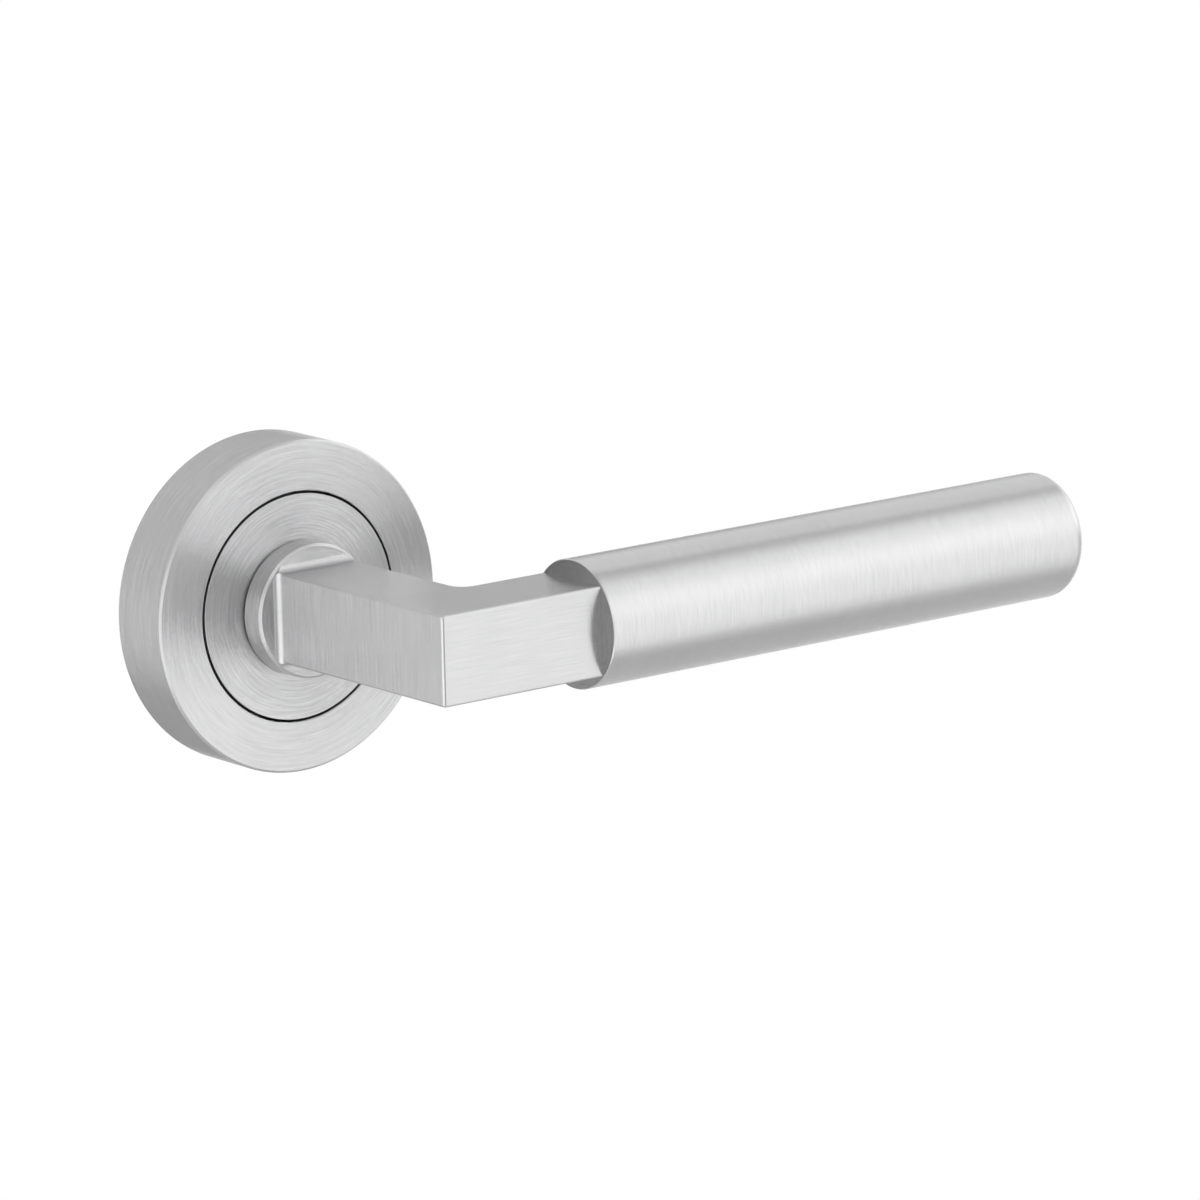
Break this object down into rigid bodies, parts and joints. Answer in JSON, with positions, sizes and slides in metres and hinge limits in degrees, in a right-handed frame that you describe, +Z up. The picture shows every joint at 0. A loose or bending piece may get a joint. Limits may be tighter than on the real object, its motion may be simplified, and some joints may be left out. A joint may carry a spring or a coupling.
{
  "type": "door lever on rose",
  "caption": "Lever door handle on a round screw-on rose: square neck and arm, round bar grip, sprung back to level, with concealed fixings and a square spindle socket.",
  "frame": {"origin": "centre of the rose's back face, on the door face and on the spindle axis", "axes": "+X along the grip, +Y into the door along the spindle axis, +Z up"},
  "size_m": [0.1444, 0.0602, 0.052],
  "materials": {
    "satin_steel": "satin, brushed",
    "dark_steel": "blackened, oiled",
    "plated_steel": "zinc plated",
    "nylon": "matt"
  },
  "bodies": {
    "rose": {"rose_base": "satin_steel", "cover_ring": "satin_steel", "front_bush": "nylon", "rear_plate": "plated_steel", "rear_plate_screw_1": "plated_steel", "rear_plate_screw_2": "plated_steel", "rest_stop_pin": "plated_steel", "travel_stop_pin": "plated_steel", "return_spring": "dark_steel"},
    "lever": {"lever_handle": "satin_steel", "grub_screw": "dark_steel", "driver_plate": "plated_steel", "retaining_ring": "dark_steel"}
  },
  "joints": [
    {"name": "lever_turn", "type": "hinge", "parent": "rose", "child": "lever", "pos_m": [0, 0, 0], "axis": [0, 1, 0], "range_deg": [0, 45], "stiffness_Nm_per_rad": 1.2, "springref_deg": -28.65, "deforming": ["return_spring"]}
  ]
}
